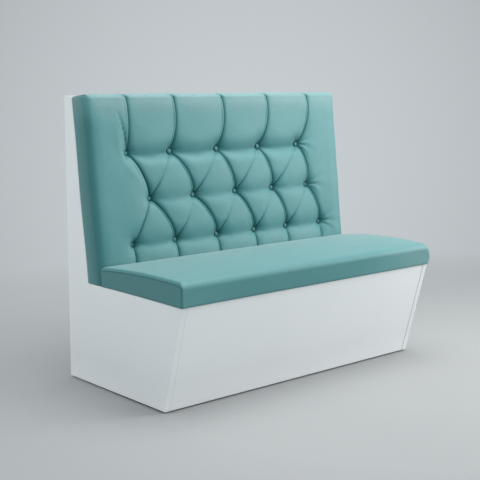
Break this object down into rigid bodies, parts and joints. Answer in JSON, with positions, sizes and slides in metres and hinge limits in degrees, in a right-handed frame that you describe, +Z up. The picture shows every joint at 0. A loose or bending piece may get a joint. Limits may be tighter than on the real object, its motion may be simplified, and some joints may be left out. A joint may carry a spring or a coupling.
{
  "type": "banquette",
  "caption": "free-standing upholstered booth bench with a deep-buttoned back pad, a loose seat pad and a raked panel base",
  "frame": {"origin": "on the floor, at the middle of the overall footprint", "axes": "+X along the seat, to the right for a person who faces it, +Y to the wall behind it, +Z up"},
  "size_m": [1.252, 0.684, 1.048],
  "materials": {
    "white_laminate": "satin white laminate on board",
    "plywood": "bare birch plywood",
    "timber": "planed softwood",
    "vinyl": "satin blue-green upholstery vinyl over wadding",
    "foam": "open-cell upholstery foam",
    "twine": "flat nylon button tie",
    "foot_steel": "zinc-plated steel"
  },
  "bodies": {
    "carcass": {"end_panel_left": "white_laminate", "end_panel_right": "white_laminate", "front_panel": "white_laminate", "rear_panel": "white_laminate", "top_cap": "white_laminate", "seat_deck": "plywood", "centre_rib": "plywood", "floor_rail_front": "timber", "floor_rail_rear": "timber", "seat_rail_front": "timber", "seat_rail_rear": "timber", "back_plank_lower": "timber", "back_plank_upper": "timber", "back_cleat_lower": "timber", "back_cleat_upper": "timber", "foot_blocks": "timber"},
    "seat_pad": {"seat_cover": "vinyl", "seat_foam": "foam", "seat_board": "plywood", "seat_pegs": "timber"},
    "back_pad": {"back_cover": "vinyl", "back_foam": "foam", "back_board": "plywood", "back_buttons": "vinyl", "button_ties": "twine", "tie_toggles": "timber", "pad_cleat_lower": "timber", "pad_cleat_upper": "timber"},
    "front_left_foot": {"foot_front_left": "foot_steel"},
    "rear_left_foot": {"foot_rear_left": "foot_steel"},
    "front_right_foot": {"foot_front_right": "foot_steel"},
    "rear_right_foot": {"foot_rear_right": "foot_steel"}
  },
  "joints": [
    {"name": "seat_pad_lift", "type": "slide", "parent": "carcass", "child": "seat_pad", "axis": [0, 0, 1], "range_m": [0, 0.12]},
    {"name": "back_pad_unhook", "type": "slide", "parent": "carcass", "child": "back_pad", "axis": [0, 0.118, 0.993], "range_m": [0, 0.04]},
    {"name": "front_left_foot_level", "type": "slide", "parent": "carcass", "child": "front_left_foot", "axis": [0, 0, 1], "range_m": [-0.012, 0]},
    {"name": "rear_left_foot_level", "type": "slide", "parent": "carcass", "child": "rear_left_foot", "axis": [0, 0, 1], "range_m": [-0.012, 0]},
    {"name": "front_right_foot_level", "type": "slide", "parent": "carcass", "child": "front_right_foot", "axis": [0, 0, 1], "range_m": [-0.012, 0]},
    {"name": "rear_right_foot_level", "type": "slide", "parent": "carcass", "child": "rear_right_foot", "axis": [0, 0, 1], "range_m": [-0.012, 0]}
  ]
}
